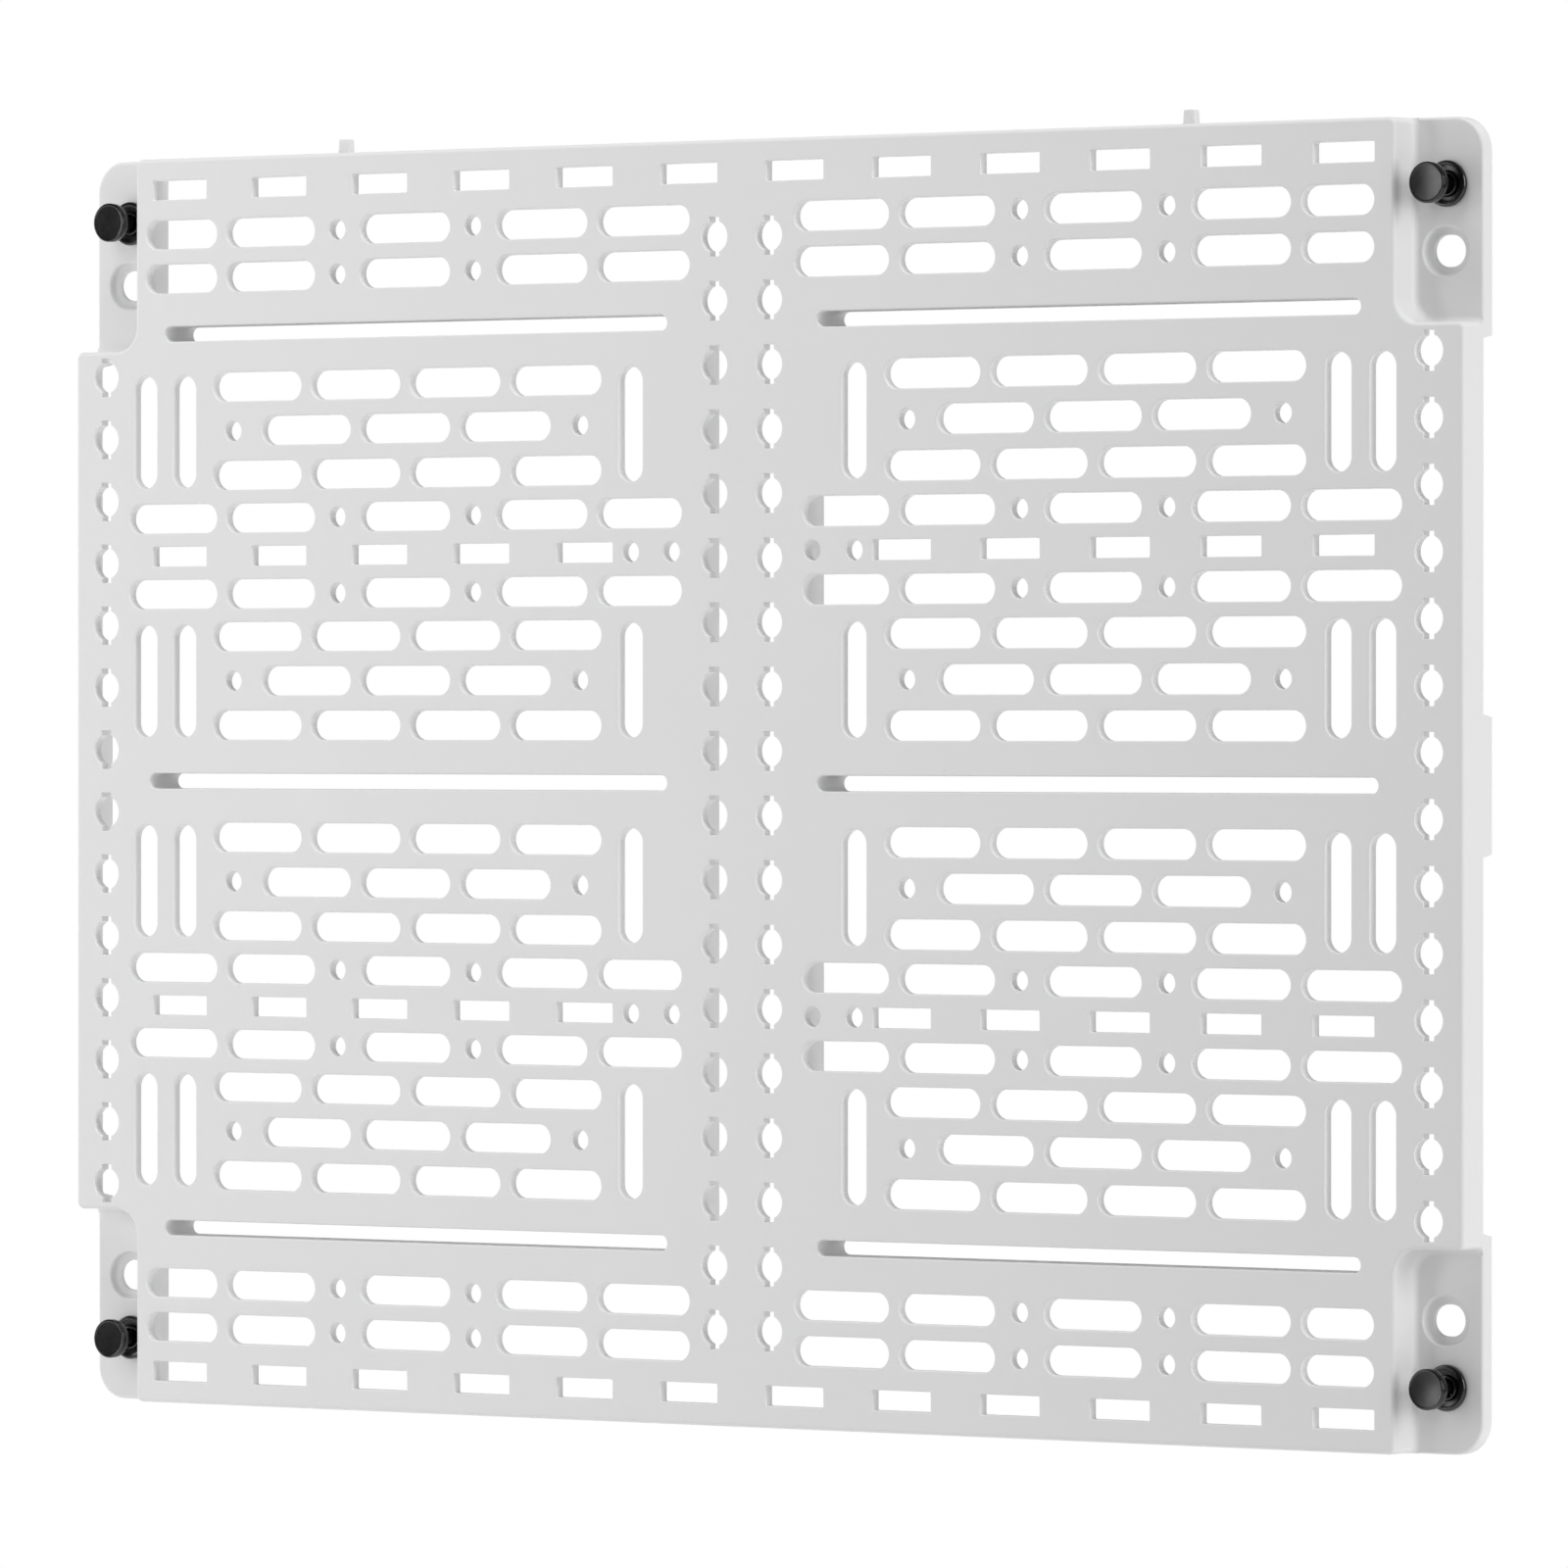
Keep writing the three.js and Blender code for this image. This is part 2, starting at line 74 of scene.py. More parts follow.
# ---- Plate ----------------------------------------------------------------------------------
PLATE_CORNER = 6.5 * MM
FACE_THICKNESS = 2.2 * MM
WALL = 1.2 * MM
SKIRT_SETBACK = 3.2 * MM
SKIRT_DEPTH = PLATE_DEPTH - SKIRT_SETBACK
FOOT_PAST_EAR = 2.35 * MM
FOOT_SLANT = 0.6 * MM
SIDE_TAB_HALF = 13 * MM
FACE_LIP = 0.8 * MM
FACE_CORNER = 1.4 * MM
BACK_CHAMFER = 0.2 * MM
INNER_FILLET = 0.5 * MM
RIB_THICKNESS = 1.5 * MM
RIB_INNER_X = 12.1 * MM
RIB_SETBACK = 0.9 * MM
RIB_DEPTH = PLATE_DEPTH - RIB_SETBACK
RIM_WALL = 1.5 * MM
PAST = 1 * MM  # how far a cutting shape runs past the plastic

# ---- Ears: the recessed corners -------------------------------------------------------------
EAR_WIDTH = 15.65 * MM
EAR_HEIGHT = 39.15 * MM
EAR_THICKNESS = 2.2 * MM
EAR_SETBACK = 1 * MM
EAR_X = HALF_WIDTH - EAR_WIDTH
EAR_Z = HALF_HEIGHT - EAR_HEIGHT
INNER_EAR_X = EAR_X - WALL
INNER_EAR_Z = EAR_Z - WALL
EAR_BACK_DEPTH = PLATE_DEPTH - EAR_SETBACK
EAR_DEPTH = EAR_BACK_DEPTH - EAR_THICKNESS
EAR_CORNER = 5.2 * MM
EAR_FILLET = 1.4 * MM
EAR_LIP = 0.6 * MM
PIN_HOLE_RADIUS = 2.8 * MM
SCREW_FROM_SIDE = 8.5 * MM
SCREW_FROM_END = 25.4 * MM
SCREW_X = HALF_WIDTH - SCREW_FROM_SIDE
SCREW_Z = HALF_HEIGHT - SCREW_FROM_END
SCREW_HOLE_SIZE = (7 * MM, 6.1 * MM)
COUNTERBORE_RING = 1.65 * MM
COUNTERBORE_DEPTH = 1.4 * MM
COUNTERBORE_LIP = 0.45 * MM

# ---- Locating tabs on the top edge ----------------------------------------------------------
TAB_X = 103.6 * MM
TAB_HALF_WIDTH = 1.5 * MM
TAB_TAPER = 0.3 * MM
TAB_THICKNESS = 2 * MM
TAB_SETBACK = 0.2 * MM
TAB_BACK = SKIRT_DEPTH - TAB_SETBACK
TAB_ROUND = 0.4 * MM

# ---- Perforations ---------------------------------------------------------------------------
SLOT_PITCH = 25.4 * MM
SLOT_LENGTH = 22.9 * MM
SLOT_WIDTH = 5.9 * MM
ROW_PITCH = 9 * MM
BLOCK_X = 84.3 * MM
BLOCK_Z = 45.8 * MM
MIXED_PITCH = 34.6 * MM
MIXED_END_OFFSET = 60 * MM
MIXED_ROW_OFFSET = 7.7 * MM
INNER_ROW_OFFSET = 16.4 * MM
BLOCK_ROUND_OFFSET = 44.25 * MM
UPRIGHT_OFFSETS = (-56.9 * MM, 57 * MM, 67.2 * MM)
ROUND_DIAMETER = 4 * MM
CENTRE_ROUND_X = (17.3 * MM, 27.4 * MM)
RECT_PITCH = 25.92 * MM
RECT_SIZE = (14 * MM, 4 * MM)
RECT_COLUMNS = 6
EDGE_ROW_FROM_END = 6.4 * MM
EDGE_SLOT_ROWS = (15.5 * MM, 24.5 * MM)
EDGE_LONG_SLOT_FROM_END = 35.8 * MM
EDGE_LONG_SLOT_Z = HALF_HEIGHT - EDGE_LONG_SLOT_FROM_END
LONG_SLOT_HEIGHT = 3.1 * MM
LONG_SLOT_INNER_X = 18.4 * MM
LONG_SLOT_TO_EAR = 7.7 * MM
LONG_SLOT_TO_SIDE = 19.35 * MM
END_SLOT_CLEARANCE = {-1: 1.5 * MM, 1: 3.5 * MM}
RIB_CLEARANCE = 1.2 * MM
KEYHOLE_PITCH = 12.7 * MM
KEYHOLE_DIAMETER = 6.35 * MM
KEYHOLE_HEIGHT = 7.8 * MM
KEYHOLE_NOTCH = 2.4 * MM
KEYHOLE_CENTRE_X = 6.7 * MM
KEYHOLE_FROM_SIDE = 7.85 * MM
KEYHOLE_SIDE_X = HALF_WIDTH - KEYHOLE_FROM_SIDE
CENTRE_KEYHOLES = 9  # in each half of a centre column
SIDE_KEYHOLES = 7  # in each half of a side column
SLOT_LIP = 0.35 * MM
SHARP_LIP = 0.25 * MM
RECT_CORNER = 0.35 * MM

# ---- Fineness -------------------------------------------------------------------------------
ARC_STEP = math.radians(11)
LIP_STEPS = 4
FILLET_STEPS = 7
CIRCLE_SIDES = 48
LATHE_SIDES = 64
HOLE_SIDES = 24
HOLE_LIP_STEPS = 2
LIP_START = 0.01 * MM  # curves run this far past a flat face before they meet it
FLAT_TOLERANCE = 2 * LIP_START
MERGE_DISTANCE = 0.001 * MM
SMOOTH_ANGLE = math.radians(32)
NEARLY = 0.99  # a round end's radius as a share of half its width, so that no two points meet


# ---- Node trees -----------------------------------------------------------------------------
class Wire:
    """One output socket. Arithmetic on it adds Math nodes to its tree."""

    def __init__(self, net, socket):
        self.net = net
        self.socket = socket

    def math(self, operation, *values):
        node_inputs = dict(enumerate(values))
        return self.net.add("ShaderNodeMath", {"operation": operation}, node_inputs)

    def __add__(self, other):
        return self.math("ADD", self, other)

    def __radd__(self, other):
        return self.math("ADD", other, self)

    def __sub__(self, other):
        return self.math("SUBTRACT", self, other)

    def __rsub__(self, other):
        return self.math("SUBTRACT", other, self)

    def __mul__(self, other):
        return self.math("MULTIPLY", self, other)

    def __rmul__(self, other):
        return self.math("MULTIPLY", other, self)

    def __truediv__(self, other):
        return self.math("DIVIDE", self, other)

    def __lt__(self, other):
        return self.math("LESS_THAN", self, other)

    def __gt__(self, other):
        return self.math("GREATER_THAN", self, other)

    def __abs__(self):
        return self.math("ABSOLUTE", self)

    def of(self, operation):
        """A function of this value alone, such as its sine."""
        return self.math(operation, self)


class Net:
    """Builds one node tree."""

    def __init__(self, tree):
        self.tree = tree
        tree.nodes.clear()

    def add(self, kind, settings=None, inputs=None, output=0):
        """Adds a node of any type: first its settings, then its sockets' values or links."""
        node = self.tree.nodes.new(kind)
        for name, value in (settings or {}).items():
            setattr(node, name, value)
        for key, value in (inputs or {}).items():
            socket = self.find(node.inputs, key)
            if isinstance(value, Wire):
                self.tree.links.new(value.socket, socket)
            else:
                socket.default_value = value
        if not node.outputs:
            return node
        return Wire(self, self.find(node.outputs, output))

    @staticmethod
    def find(sockets, key):
        if isinstance(key, int):
            return sockets[key]
        return next(socket for socket in sockets if socket.name == key and socket.enabled)


# ---- Finishes -------------------------------------------------------------------------------
WHITE_PLASTIC = (0.80, 0.80, 0.80)
WHITE_PLASTIC_SHADE = (0.77, 0.772, 0.772)
BLACK_NYLON = (0.002, 0.002, 0.0022)
BLACK_NYLON_SHEEN = (0.005, 0.005, 0.0055)
FLOOR_PALE = (0.8, 0.8, 0.8)
FLOOR_PALER = (0.84, 0.84, 0.84)
PLASTIC_IOR = 1.5
NYLON_IOR = 1.7

# Noise patterns, as a scale and a detail
PLASTIC_FLOW = (22, 3)
PLASTIC_MOTTLE = (260, 4)
PLASTIC_GRAIN = (5200, 2)
NYLON_CLOUD = (900, 3)
NYLON_GRAIN = (9000, 2)
FLOOR_CLOUD = (3, 2)

# Roughness, and how much each pattern adds to it or to the relief
PLASTIC_ROUGHNESS = 0.40
MOTTLE_ROUGHNESS = 0.10
FLOW_ROUGHNESS = 0.04
MOTTLE_RELIEF = 0.35
NYLON_ROUGHNESS = 0.18
CLOUD_ROUGHNESS = 0.10
CLOUD_RELIEF = 0.6
FLOOR_ROUGHNESS = 0.8

# Bumps, as a strength and a distance
PLASTIC_BUMP = (0.30, 0.03 * MM)
NYLON_BUMP = (0.10, 0.01 * MM)


def noise(net, place, pattern):
    scale, detail = pattern
    inputs = {"Vector": place, "Scale": scale, "Detail": detail}
    return net.add("ShaderNodeTexNoise", {"noise_dimensions": "3D"}, inputs)


def mixed_colour(net, share, first, second):
    settings = {"data_type": "RGBA"}
    inputs = {"Factor": share, "A": (*first, 1), "B": (*second, 1)}
    return net.add("ShaderNodeMix", settings, inputs, "Result")


def bumped(net, height, bump):
    strength, distance = bump
    inputs = {"Height": height, "Strength": strength, "Distance": distance}
    return net.add("ShaderNodeBump", None, inputs)


def finish(name, make_inputs):
    """A material whose surface is one Principled shader with the inputs that a recipe gives."""
    material = bpy.data.materials.new(name)
    material.use_nodes = True
    net = Net(material.node_tree)
    place = net.add("ShaderNodeTexCoord", output="Object")
    surface = net.add("ShaderNodeBsdfPrincipled", None, make_inputs(net, place))
    net.add("ShaderNodeOutputMaterial", None, {"Surface": surface})
    return material


def white_plastic(net, place):
    """Satin moulded plastic: a fine spark-eroded grain, and a faint flow mottle in its colour."""
    flow = noise(net, place, PLASTIC_FLOW)
    grain = noise(net, place, PLASTIC_GRAIN)
    mottle = noise(net, place, PLASTIC_MOTTLE)
    return {
        "Base Color": mixed_colour(net, flow, WHITE_PLASTIC_SHADE, WHITE_PLASTIC),
        "Roughness": PLASTIC_ROUGHNESS + MOTTLE_ROUGHNESS * mottle + FLOW_ROUGHNESS * flow,
        "IOR": PLASTIC_IOR,
        "Normal": bumped(net, grain + MOTTLE_RELIEF * mottle, PLASTIC_BUMP),
    }


def black_nylon(net, place):
    """Glossy moulded nylon: nearly smooth, with soft unevenness in its shine."""
    cloud = noise(net, place, NYLON_CLOUD)
    grain = noise(net, place, NYLON_GRAIN)
    return {
        "Base Color": mixed_colour(net, cloud, BLACK_NYLON, BLACK_NYLON_SHEEN),
        "Roughness": NYLON_ROUGHNESS + CLOUD_ROUGHNESS * cloud,
        "IOR": NYLON_IOR,
        "Normal": bumped(net, grain + CLOUD_RELIEF * cloud, NYLON_BUMP),
    }


# ---- Outlines: (point, outward direction) pairs in X and Z, anticlockwise from the front ----
def outward(edge):
    return Vector((edge.y, -edge.x)).normalized()


def corner_points(before, here, after, radius):
    """One corner of an outline, rounded or sharp, hollow or proud."""
    first = outward(here - before)
    last = outward(after - here)
    miter = (first + last) / (1 + first.dot(last))
    if radius == 0:
        return [(here, miter)]
    turn = math.atan2(first.cross(last), first.dot(last))
    bend = math.copysign(1, turn)
    centre = here - bend * radius * miter
    steps = math.ceil(abs(turn) / ARC_STEP)
    points = []
    for step in range(steps + 1):
        angle = turn * step / steps
        direction = Vector((
            first.x * math.cos(angle) - first.y * math.sin(angle),
            first.x * math.sin(angle) + first.y * math.cos(angle),
        ))
        points.append((centre + bend * radius * direction, direction))
    return points


def polygon(corners):
    """An outline from (x, z, radius) corners."""
    outline = []
    for index, (x, z, radius) in enumerate(corners):
        before = Vector(corners[index - 1][:2])
        after = Vector(corners[(index + 1) % len(corners)][:2])
        outline += corner_points(before, Vector((x, z)), after, radius)
    return outline


def rectangle(xs, zs, radius=0.0):
    x0, x1 = sorted(xs)
    z0, z1 = sorted(zs)
    return polygon([(x0, z0, radius), (x1, z0, radius), (x1, z1, radius), (x0, z1, radius)])


def circle(x, z, radius):
    outline = []
    for side in range(CIRCLE_SIDES):
        angle = side * math.tau / CIRCLE_SIDES
        direction = Vector((math.cos(angle), math.sin(angle)))
        outline.append((Vector((x, z)) + radius * direction, direction))
    return outline


def cross(x, z, inner_x, inner_z, corner, inner_corner):
    """The outline of a rectangle that has lost a smaller rectangle at each corner."""
    quarter = [(x, inner_z, corner), (inner_x, inner_z, inner_corner), (inner_x, z, corner)]
    corners = list(quarter)
    corners += [(-a, b, r) for a, b, r in reversed(quarter)]
    corners += [(-a, -b, r) for a, b, r in quarter]
    corners += [(a, -b, r) for a, b, r in reversed(quarter)]
    return polygon(corners)


# ---- Profiles: (offset, depth) pairs from front to back ------------------------------------
def round_over(radius, front, steps=LIP_STEPS):
    """A rounded front edge."""
    profile = []
    for step in range(steps + 1):
        angle = step * math.pi / 2 / steps
        profile.append((radius * (math.sin(angle) - 1), front + radius * (1 - math.cos(angle))))
    return profile


def fillet_out(radius, back, steps=LIP_STEPS):
    """A hollow curve that spreads a wall outwards where it meets a surface behind it."""
    profile = []
    for step in range(steps + 1):
        angle = step * math.pi / 2 / steps
        profile.append((radius * (1 - math.cos(angle)), back - radius * (1 - math.sin(angle))))
    return profile


def fillet_in(radius, front, steps=LIP_STEPS):
    """The same curve at the front end of a wall: the foot of a rib behind the face."""
    spread = [(offset, 2 * front - depth) for offset, depth in fillet_out(radius, front, steps)]
    return list(reversed(spread))


# ---- Solids ---------------------------------------------------------------------------------
def add_loft(mesh, outline, profile):
    """Sweeps an outline through a profile into a closed shell."""
    rings = []
    for offset, depth in profile:
        places = [point + offset * direction for point, direction in outline]
        rings.append([mesh.verts.new((place.x, depth, place.y)) for place in places])
    for front, back in zip(rings, rings[1:]):
        for index in range(len(outline)):
            mesh.faces.new((front[index], front[index - 1], back[index - 1], back[index]))
    mesh.faces.new(rings[0])
    mesh.faces.new(reversed(rings[-1]))


def add_lathe(mesh, x, z, profile):
    """Turns a closed (radius, depth) profile about an axis along Y. It may touch the axis."""
    loops = []
    for radius, depth in profile:
        if radius == 0:
            loops.append([mesh.verts.new((x, depth, z))])
            continue
        loop = []
        for side in range(LATHE_SIDES):
            angle = side * math.tau / LATHE_SIDES
            place = (x + radius * math.cos(angle), depth, z + radius * math.sin(angle))
            loop.append(mesh.verts.new(place))
        loops.append(loop)
    for index, loop in enumerate(loops):
        after = loops[(index + 1) % len(loops)]
        add_band(mesh, loop, after)


def add_band(mesh, loop, after):
    """The faces between two loops of a turned shape, either of which may be a single point."""
    if len(loop) == 1 and len(after) == 1:
        return
    for side in range(LATHE_SIDES):
        corners = []
        for ring, index in ((loop, side), (loop, side - 1), (after, side - 1), (after, side)):
            vertex = ring[index] if len(ring) > 1 else ring[0]
            if vertex not in corners:
                corners.append(vertex)
        mesh.faces.new(corners)


def made(name, mesh):
    """Turns a bmesh into an object."""
    data = bpy.data.meshes.new(name)
    mesh.to_mesh(data)
    mesh.free()
    thing = bpy.data.objects.new(name, data)
    bpy.context.scene.collection.objects.link(thing)
    return thing


def lofted(name, shapes):
    """One object that holds a closed shell for each (outline, profile) pair."""
    mesh = bmesh.new()
    for outline, profile in shapes:
        add_loft(mesh, outline, profile)
    return made(name, mesh)


def settle(thing):
    """Bakes an object's modifiers into its mesh."""
    bpy.context.view_layer.update()
    graph = bpy.context.evaluated_depsgraph_get()
    fresh = bpy.data.meshes.new_from_object(thing.evaluated_get(graph))
    stale = thing.data
    thing.modifiers.clear()
    thing.data = fresh
    bpy.data.meshes.remove(stale)


def combine(thing, operation, tool):
    """Joins, cuts or limits one solid by another, which is used up."""
    modifier = thing.modifiers.new(operation, "BOOLEAN")
    modifier.operation = operation
    modifier.solver = "MANIFOLD"
    modifier.object = tool
    settle(thing)
    stale = tool.data
    bpy.data.objects.remove(tool)
    bpy.data.meshes.remove(stale)


# ---- Where the holes are: lists of centres, by kind and size --------------------------------
holes = {}


def add_hole(kind, x, z, width, height):
    key = (kind, round(width, 7), round(height, 7))
    holes.setdefault(key, []).append((x, 0, z))


def add_slot(x, z, width=SLOT_LENGTH):
    add_hole("slot", x, z, width, SLOT_WIDTH)


def add_slot_between(x0, x1, z, height=SLOT_WIDTH):
    add_hole("slot", (x0 + x1) / 2, z, abs(x1 - x0), height)


def add_round(x, z):
    add_hole("slot", x, z, ROUND_DIAMETER, ROUND_DIAMETER)


def long_slots(side):
    """The three narrow slots of one half of the face, as (x0, x1, z)."""
    inner = side * LONG_SLOT_INNER_X
    slots = [(inner, side * (HALF_WIDTH - LONG_SLOT_TO_SIDE), 0)]
    for level in LEVELS.values():
        slots.append((inner, side * (EAR_X - LONG_SLOT_TO_EAR), level * EDGE_LONG_SLOT_Z))
    return slots


def add_rectangles(side, z, first_column):
    for column in range(first_column, RECT_COLUMNS):
        add_hole("rectangle", side * (column + 0.5) * RECT_PITCH, z, *RECT_SIZE)


def add_mixed_row(side, z):
    """Slots that alternate with round holes, round the middle of one half of the face."""
    for step in (-1, 0, 1):
        add_slot(side * (BLOCK_X + step * MIXED_PITCH), z)
    for step in (-0.5, 0.5):
        add_round(side * (BLOCK_X + step * MIXED_PITCH), z)


def add_edge_rows(side, level):
    """The two mixed rows of an edge band: the end slot stops short of the ear."""
    outer = INNER_EAR_X - END_SLOT_CLEARANCE[side]
    inner = BLOCK_X + MIXED_END_OFFSET - SLOT_LENGTH / 2
    for from_end in EDGE_SLOT_ROWS:
        z = level * (HALF_HEIGHT - from_end)
        add_mixed_row(side, z)
        add_slot(side * (BLOCK_X - MIXED_END_OFFSET), z)
        add_slot_between(side * inner, side * outer, z)


def add_middle_rows(side, level):
    """The two mixed rows in the middle of a block: the inner slot stops short of the rib."""
    rib_end = RIB_INNER_X + RIB_THICKNESS + RIB_CLEARANCE
    inner_slot_end = BLOCK_X - MIXED_END_OFFSET + SLOT_LENGTH / 2
    for offset in (-MIXED_ROW_OFFSET, MIXED_ROW_OFFSET):
        z = level * (BLOCK_Z + offset)
        add_mixed_row(side, z)
        add_slot_between(side * rib_end, side * inner_slot_end, z)
        add_slot(side * (BLOCK_X + MIXED_END_OFFSET), z)
    add_rectangles(side, level * BLOCK_Z, 1)
    for x in CENTRE_ROUND_X:
        add_round(side * x, level * BLOCK_Z)


def add_slot_block(side, middle_z):
    """Three rows of slots, the middle one shifted by half a pitch and closed by round holes."""
    for row in (-1, 1):
        for step in (-1.5, -0.5, 0.5, 1.5):
            add_slot(side * (BLOCK_X + step * SLOT_PITCH), middle_z + row * ROW_PITCH)
    for step in (-1, 0, 1):
        add_slot(side * (BLOCK_X + step * SLOT_PITCH), middle_z)
    for offset in (-BLOCK_ROUND_OFFSET, BLOCK_ROUND_OFFSET):
        add_round(side * (BLOCK_X + offset), middle_z)
    for offset in UPRIGHT_OFFSETS:
        add_hole("slot", side * (BLOCK_X + offset), middle_z, SLOT_WIDTH, SLOT_LENGTH)


def add_keyholes(x, half_count):
    for index in range(-half_count, half_count):
        z = (index + 0.5) * KEYHOLE_PITCH
        add_hole("keyhole", x, z, KEYHOLE_DIAMETER, KEYHOLE_DIAMETER)


def place_holes():
    for side in SIDES.values():
        for x0, x1, z in long_slots(side):
            add_slot_between(x0, x1, z, LONG_SLOT_HEIGHT)
        for level in LEVELS.values():
            add_rectangles(side, level * (HALF_HEIGHT - EDGE_ROW_FROM_END), 0)
            add_edge_rows(side, level)
            add_middle_rows(side, level)
            for offset in (-1, 1):
                shift = offset * (INNER_ROW_OFFSET + ROW_PITCH)
                add_slot_block(side, level * (BLOCK_Z + shift))
        add_keyholes(side * KEYHOLE_CENTRE_X, CENTRE_KEYHOLES)
        add_keyholes(side * KEYHOLE_SIDE_X, SIDE_KEYHOLES)


# ---- The hole cutter ------------------------------------------------------------------------
HOLE_SIZES = ("Width", "Height", "Corner", "Notch Width", "Notch Reach", "Lip")
HOLE_RINGS = HOLE_LIP_STEPS + 5  # two end points, one ring in front, the lip's rings, one behind
TIP_BELOW = 0.3  # columns whose cosine is less than this make the tips of a notch
SHOULDER_BELOW = 0.6  # the next ones stand where the notch leaves the round hole


def hole_columns(net, sizes, column):
    """For a column of the cutter: its place on the outline, and how it moves as the hole grows."""
    angle = (column + 0.5) * (math.tau / HOLE_SIDES)
    across = angle.of("COSINE")
    up = angle.of("SINE")
    side = across.of("SIGN")
    level = up.of("SIGN")
    miter = 1 / math.cos(math.pi / HOLE_SIDES)
    reach = sizes["Corner"] * miter
    plain_x = side * (sizes["Width"] * 0.5 - sizes["Corner"]) + reach * across
    plain_z = level * (sizes["Height"] * 0.5 - sizes["Corner"]) + reach * up
    notched = sizes["Notch Width"] > 0
    tip = notched * (abs(across) < TIP_BELOW)
    shoulder = notched * (abs(across) < SHOULDER_BELOW) - tip
    plain = 1 - tip - shoulder
    notch = sizes["Notch Width"] * 0.5
    lean = notch / (sizes["Width"] * 0.5)
    rise = (1 - lean * lean).of("SQRT")
    x = plain * plain_x + (tip + shoulder) * side * notch
    notch_z = tip * sizes["Notch Reach"] + shoulder * rise * sizes["Width"] * 0.5
    z = plain * plain_z + level * notch_z
    grow_x = plain * miter * across + (tip + shoulder) * side
    grow_z = plain * miter * up + level * (tip + shoulder * rise / (1 + lean))
    return x, z, grow_x, grow_z


def hole_position(net, sizes):
    """Bends a grid of columns and rings into one cutter."""
    index = net.add("GeometryNodeInputIndex")
    column = (index / HOLE_RINGS).of("FLOOR")
    ring = index - column * HOLE_RINGS
    x, z, grow_x, grow_z = hole_columns(net, sizes, column)
    lip_share = net.add("ShaderNodeClamp", None, {"Value": (ring - 2) / HOLE_LIP_STEPS})
    lip_angle = lip_share * (math.pi / 2)
    in_front = ring < 1.5
    behind = ring > HOLE_LIP_STEPS + 2.5
    lip_depth = sizes["Lip"] * (1 - lip_angle.of("COSINE")) - LIP_START
    depth = behind * (PLATE_DEPTH + PAST) - in_front * PAST + (1 - in_front - behind) * lip_depth
    grow = sizes["Lip"] * (1 - lip_angle.of("SINE"))
    open_ring = (ring > 0.5) * (ring < HOLE_RINGS - 1.5)
    place = {"X": open_ring * (x + grow * grow_x), "Y": depth, "Z": open_ring * (z + grow * grow_z)}
    return net.add("ShaderNodeCombineXYZ", None, place)


def perforation_tree():
    """One cutter at each point that the tree is given."""
    tree = bpy.data.node_groups.new("perforation", "GeometryNodeTree")
    tree.interface.new_socket("Geometry", in_out="INPUT", socket_type="NodeSocketGeometry")
    for name in HOLE_SIZES:
        tree.interface.new_socket(name, in_out="INPUT", socket_type="NodeSocketFloat")
    tree.interface.new_socket("Finish", in_out="INPUT", socket_type="NodeSocketMaterial")
    tree.interface.new_socket("Geometry", in_out="OUTPUT", socket_type="NodeSocketGeometry")
    net = Net(tree)
    centres = net.add("NodeGroupInput")
    given = centres.socket.node.outputs
    sizes = {name: Wire(net, given[name]) for name in HOLE_SIZES}
    grid_size = {"Vertices X": HOLE_SIDES + 1, "Vertices Y": HOLE_RINGS}
    grid = net.add("GeometryNodeMeshGrid", None, grid_size)
    place = hole_position(net, sizes)
    bent = net.add("GeometryNodeSetPosition", None, {"Geometry": grid, "Position": place})
    facing = net.add("GeometryNodeFlipFaces", None, {"Mesh": bent})
    closing = {"Geometry": facing, "Distance": MERGE_DISTANCE}
    closed = net.add("GeometryNodeMergeByDistance", None, closing)
    copies = net.add("GeometryNodeInstanceOnPoints", None, {"Points": centres, "Instance": closed})
    joined = net.add("GeometryNodeRealizeInstances", None, {"Geometry": copies})
    finishing = {"Geometry": joined, "Material": Wire(net, given["Finish"])}
    finished = net.add("GeometryNodeSetMaterial", None, finishing)
    net.add("NodeGroupOutput", None, {"Geometry": finished})
    return tree


def hole_sizes(kind, width, height):
    """The cutter tree's inputs for one kind and size of hole."""
    sizes = {"Width": width, "Height": height, "Notch Width": 0.0, "Notch Reach": 0.0}
    if kind == "rectangle":
        return {**sizes, "Corner": RECT_CORNER, "Lip": SHARP_LIP}
    corner = min(width, height) / 2
    if kind == "keyhole":
        notch = {"Notch Width": KEYHOLE_NOTCH, "Notch Reach": KEYHOLE_HEIGHT / 2}
        return {**sizes, **notch, "Corner": corner, "Lip": SHARP_LIP}
    return {**sizes, "Corner": corner, "Lip": SLOT_LIP}


def hole_cutters(material):
    """All the hole cutters as one object of separate closed shells."""
    tree = perforation_tree()
    inputs = [item for item in tree.interface.items_tree if item.in_out == "INPUT"]
    sockets = {item.name: item.identifier for item in inputs}
    whole = bmesh.new()
    for (kind, width, height), centres in holes.items():
        points = bpy.data.meshes.new("hole_centres")
        points.from_pydata(centres, [], [])
        group = bpy.data.objects.new("hole_group", points)
        bpy.context.scene.collection.objects.link(group)
        modifier = group.modifiers.new("perforation", "NODES")
        modifier.node_group = tree
        for name, size in hole_sizes(kind, width, height).items():
            modifier[sockets[name]] = size
        modifier[sockets["Finish"]] = material
        settle(group)
        whole.from_mesh(group.data)
        bpy.data.objects.remove(group)
    return made("hole_cutters", whole)


